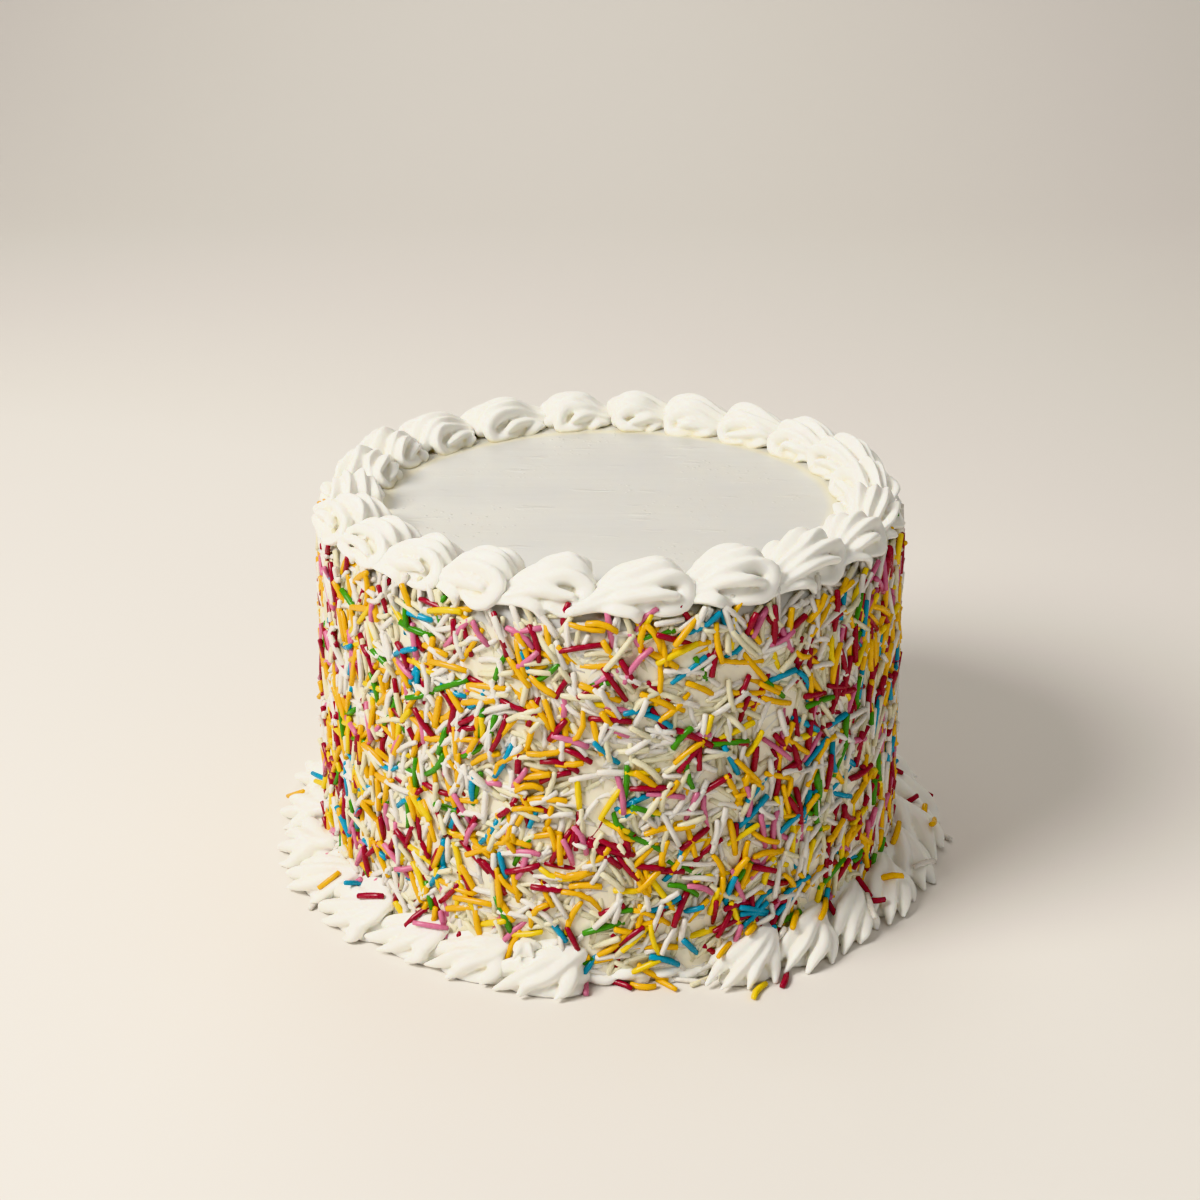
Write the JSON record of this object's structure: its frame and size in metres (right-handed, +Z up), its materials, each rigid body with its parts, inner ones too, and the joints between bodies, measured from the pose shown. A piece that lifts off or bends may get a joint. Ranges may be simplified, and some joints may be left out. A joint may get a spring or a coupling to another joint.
{
  "type": "birthday cake with sprinkles",
  "caption": "Round birthday cake coated in cream, with sprinkles all round its side, a piped shell border on its top edge and another round its foot.",
  "frame": {"origin": "centre of the cake's flat foot, on the surface that it stands on", "axes": "+Z up; the gap in the bottom border, which is the cake's front, faces -Y"},
  "size_m": [0.1888, 0.1828, 0.1088],
  "materials": {
    "cake_cream": "smooth whipped cream, slightly moist",
    "piped_cream": "soft piped whipped cream",
    "sprinkles": "sugar rods with a dull gloss, in mixed colours"
  },
  "bodies": {
    "root": {"cake": "cake_cream", "top_shell_01": "piped_cream", "top_shell_02": "piped_cream", "top_shell_03": "piped_cream", "top_shell_04": "piped_cream", "top_shell_05": "piped_cream", "top_shell_06": "piped_cream", "top_shell_07": "piped_cream", "top_shell_08": "piped_cream", "top_shell_09": "piped_cream", "top_shell_10": "piped_cream", "top_shell_11": "piped_cream", "top_shell_12": "piped_cream", "top_shell_13": "piped_cream", "top_shell_14": "piped_cream", "top_shell_15": "piped_cream", "top_shell_16": "piped_cream", "top_shell_17": "piped_cream", "top_shell_18": "piped_cream", "top_shell_19": "piped_cream", "top_shell_20": "piped_cream", "top_shell_21": "piped_cream", "top_shell_22": "piped_cream", "bottom_shell_01": "piped_cream", "bottom_shell_02": "piped_cream", "bottom_shell_03": "piped_cream", "bottom_shell_04": "piped_cream", "bottom_shell_05": "piped_cream", "bottom_shell_06": "piped_cream", "bottom_shell_07": "piped_cream", "bottom_shell_08": "piped_cream", "bottom_shell_09": "piped_cream", "bottom_shell_10": "piped_cream", "bottom_shell_11": "piped_cream", "bottom_shell_12": "piped_cream", "bottom_shell_13": "piped_cream", "bottom_shell_14": "piped_cream", "bottom_shell_15": "piped_cream", "bottom_shell_16": "piped_cream", "bottom_shell_17": "piped_cream", "bottom_shell_18": "piped_cream", "bottom_shell_19": "piped_cream", "bottom_shell_20": "piped_cream", "bottom_shell_21": "piped_cream", "bottom_shell_22": "piped_cream", "bottom_shell_23": "piped_cream", "bottom_shell_24": "piped_cream", "bottom_shell_25": "piped_cream", "bottom_shell_26": "piped_cream", "bottom_shell_27": "piped_cream"}
  },
  "joints": []
}
